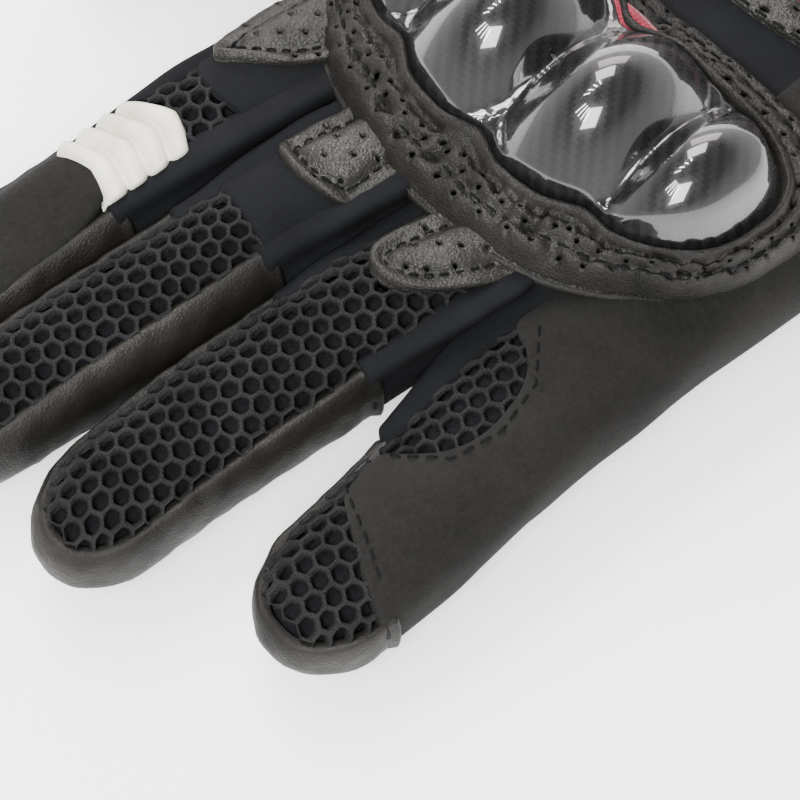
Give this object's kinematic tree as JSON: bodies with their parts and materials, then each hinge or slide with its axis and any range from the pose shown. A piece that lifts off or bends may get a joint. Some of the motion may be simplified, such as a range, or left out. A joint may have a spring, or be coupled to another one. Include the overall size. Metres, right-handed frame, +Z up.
{
  "type": "motorcycle riding glove",
  "caption": "Left-hand short motorcycle glove, palm down: hard domed knuckle protector, jointed mesh, leather and suede fingers, thumb, cuff and wrist strap.",
  "frame": {"origin": "centre of the flat underside of the palm heel pad, on the surface the glove lies on", "axes": "+X to the thumb side, +Y to the fingertips, +Z up out of the back of the hand"},
  "size_m": [0.1336, 0.2307, 0.0495],
  "materials": {
    "smooth_leather": "fine-grained olive-black leather, semi-gloss",
    "perforated_leather": "perforated dark grey-brown leather, creased, semi-gloss",
    "stretch_fabric": "matte blue-black stretch knit",
    "suede": "matte charcoal synthetic suede",
    "air_mesh": "open hexagonal air mesh over a black lining",
    "pleated_insert": "pleated off-white leather, satin",
    "hard_shell": "carbon weave under clear gloss resin",
    "foam": "closed-cell foam, matte",
    "red_padding": "dark red padded fabric",
    "touch_fastener": "woven hook-and-loop tape",
    "moulded_rubber": "moulded soft rubber, satin"
  },
  "bodies": {
    "hand": {"hand_back_panel": "stretch_fabric", "palm_panel": "smooth_leather", "outer_side_panel": "suede", "thumb_side_panel": "stretch_fabric", "thumb_gusset": "smooth_leather", "palm_heel_pad": "smooth_leather", "knuckle_shell": "hard_shell", "protector_pad": "foam", "protector_surround": "perforated_leather", "red_insert": "red_padding", "rear_leather_band": "perforated_leather"},
    "cuff": {"cuff_shell": "stretch_fabric", "loop_patch": "touch_fastener"},
    "strap": {"closure_strap": "smooth_leather", "hook_patch": "touch_fastener", "pull_tab": "moulded_rubber"},
    "thumb_base": {"thumb_base_back": "stretch_fabric", "thumb_base_palm": "smooth_leather"},
    "thumb_tip": {"thumb_tip_back": "suede", "thumb_tip_palm": "smooth_leather"},
    "index_base": {"index_base_back": "stretch_fabric", "index_base_sides": "stretch_fabric", "index_base_palm": "smooth_leather", "index_flap": "perforated_leather"},
    "index_mid": {"index_mid_back": "suede", "index_mid_sides": "smooth_leather", "index_mid_palm": "smooth_leather", "index_accordion": "pleated_insert"},
    "index_tip": {"index_tip_back": "suede", "index_tip_sides": "smooth_leather", "index_tip_palm": "smooth_leather"},
    "middle_base": {"middle_base_back": "air_mesh", "middle_base_sides": "stretch_fabric", "middle_base_palm": "smooth_leather", "middle_flap": "perforated_leather"},
    "middle_mid": {"middle_mid_back": "air_mesh", "middle_mid_sides": "smooth_leather", "middle_mid_palm": "smooth_leather"},
    "middle_tip": {"middle_tip_back": "air_mesh", "middle_tip_sides": "smooth_leather", "middle_tip_palm": "smooth_leather"},
    "ring_base": {"ring_base_back": "air_mesh", "ring_base_sides": "stretch_fabric", "ring_base_palm": "smooth_leather", "ring_flap": "perforated_leather"},
    "ring_mid": {"ring_mid_back": "air_mesh", "ring_mid_sides": "smooth_leather", "ring_mid_palm": "smooth_leather"},
    "ring_tip": {"ring_tip_back": "air_mesh", "ring_tip_sides": "smooth_leather", "ring_tip_palm": "smooth_leather"},
    "pinky_base": {"pinky_base_back": "air_mesh", "pinky_base_sides": "suede", "pinky_base_palm": "smooth_leather"},
    "pinky_mid": {"pinky_mid_back": "suede", "pinky_mid_sides": "suede", "pinky_mid_palm": "smooth_leather"},
    "pinky_tip": {"pinky_tip_back": "air_mesh", "pinky_tip_sides": "smooth_leather", "pinky_tip_palm": "smooth_leather"}
  },
  "joints": [
    {"name": "index_knuckle", "type": "hinge", "parent": "hand", "child": "index_base", "pos_m": [0.0305, 0.058, 0.0184], "axis": [-0.9962, 0.0872, 0], "range_deg": [0, 70]},
    {"name": "index_middle_joint", "type": "hinge", "parent": "index_base", "child": "index_mid", "pos_m": [0.0351, 0.10578, 0.0175], "axis": [-0.9962, 0.0872, 0], "range_deg": [0, 80]},
    {"name": "index_end_joint", "type": "hinge", "parent": "index_mid", "child": "index_tip", "pos_m": [0.0375, 0.13066, 0.0135], "axis": [-0.9962, 0.0872, 0], "range_deg": [0, 48]},
    {"name": "middle_knuckle", "type": "hinge", "parent": "hand", "child": "middle_base", "pos_m": [0.01, 0.063, 0.019], "axis": [-0.9962, 0.0872, 0], "range_deg": [0, 70]},
    {"name": "middle_middle_joint", "type": "hinge", "parent": "middle_base", "child": "middle_mid", "pos_m": [0.01532, 0.1097, 0.018], "axis": [-0.9962, 0.0872, 0], "range_deg": [0, 80]},
    {"name": "middle_end_joint", "type": "hinge", "parent": "middle_mid", "child": "middle_tip", "pos_m": [0.0186, 0.13851, 0.014], "axis": [-0.9962, 0.0872, 0], "range_deg": [0, 48]},
    {"name": "ring_knuckle", "type": "hinge", "parent": "hand", "child": "ring_base", "pos_m": [-0.011, 0.059, 0.019], "axis": [-0.9962, 0.0872, 0], "range_deg": [0, 70]},
    {"name": "ring_middle_joint", "type": "hinge", "parent": "ring_base", "child": "ring_mid", "pos_m": [-0.00608, 0.10374, 0.0175], "axis": [-0.9962, 0.0872, 0], "range_deg": [0, 80]},
    {"name": "ring_end_joint", "type": "hinge", "parent": "ring_mid", "child": "ring_tip", "pos_m": [-0.00364, 0.13164, 0.0135], "axis": [-0.9962, 0.0872, 0], "range_deg": [0, 48]},
    {"name": "pinky_knuckle", "type": "hinge", "parent": "hand", "child": "pinky_base", "pos_m": [-0.0325, 0.053, 0.018], "axis": [-0.9962, 0.0872, 0], "range_deg": [0, 70]},
    {"name": "pinky_middle_joint", "type": "hinge", "parent": "pinky_base", "child": "pinky_mid", "pos_m": [-0.0312, 0.09105, 0.016], "axis": [-0.9962, 0.0872, 0], "range_deg": [0, 80]},
    {"name": "pinky_end_joint", "type": "hinge", "parent": "pinky_mid", "child": "pinky_tip", "pos_m": [-0.03417, 0.11698, 0.0125], "axis": [-0.9962, 0.0872, 0], "range_deg": [0, 48]},
    {"name": "thumb_knuckle", "type": "hinge", "parent": "hand", "child": "thumb_base", "pos_m": [0.0545, 0.0345, 0.0155], "axis": [-0.842, 0.4476, 0.3011], "range_deg": [0, 40]},
    {"name": "thumb_end_joint", "type": "hinge", "parent": "thumb_base", "child": "thumb_tip", "pos_m": [0.06952, 0.06275, 0.0135], "axis": [-0.842, 0.4476, 0.3011], "range_deg": [0, 45]},
    {"name": "wrist", "type": "hinge", "parent": "hand", "child": "cuff", "pos_m": [0, -0.0235, 0.016], "axis": [1, 0, 0], "range_deg": [-25, 25]},
    {"name": "strap_hinge", "type": "hinge", "parent": "cuff", "child": "strap", "pos_m": [0.0262, -0.047, 0.0305], "axis": [0, 1, 0], "range_deg": [0, 110]}
  ],
  "couplings": [
    {"joint": "index_end_joint", "follows": "index_middle_joint", "ratio": 0.6},
    {"joint": "middle_end_joint", "follows": "middle_middle_joint", "ratio": 0.6},
    {"joint": "ring_end_joint", "follows": "ring_middle_joint", "ratio": 0.6},
    {"joint": "pinky_end_joint", "follows": "pinky_middle_joint", "ratio": 0.6}
  ]
}
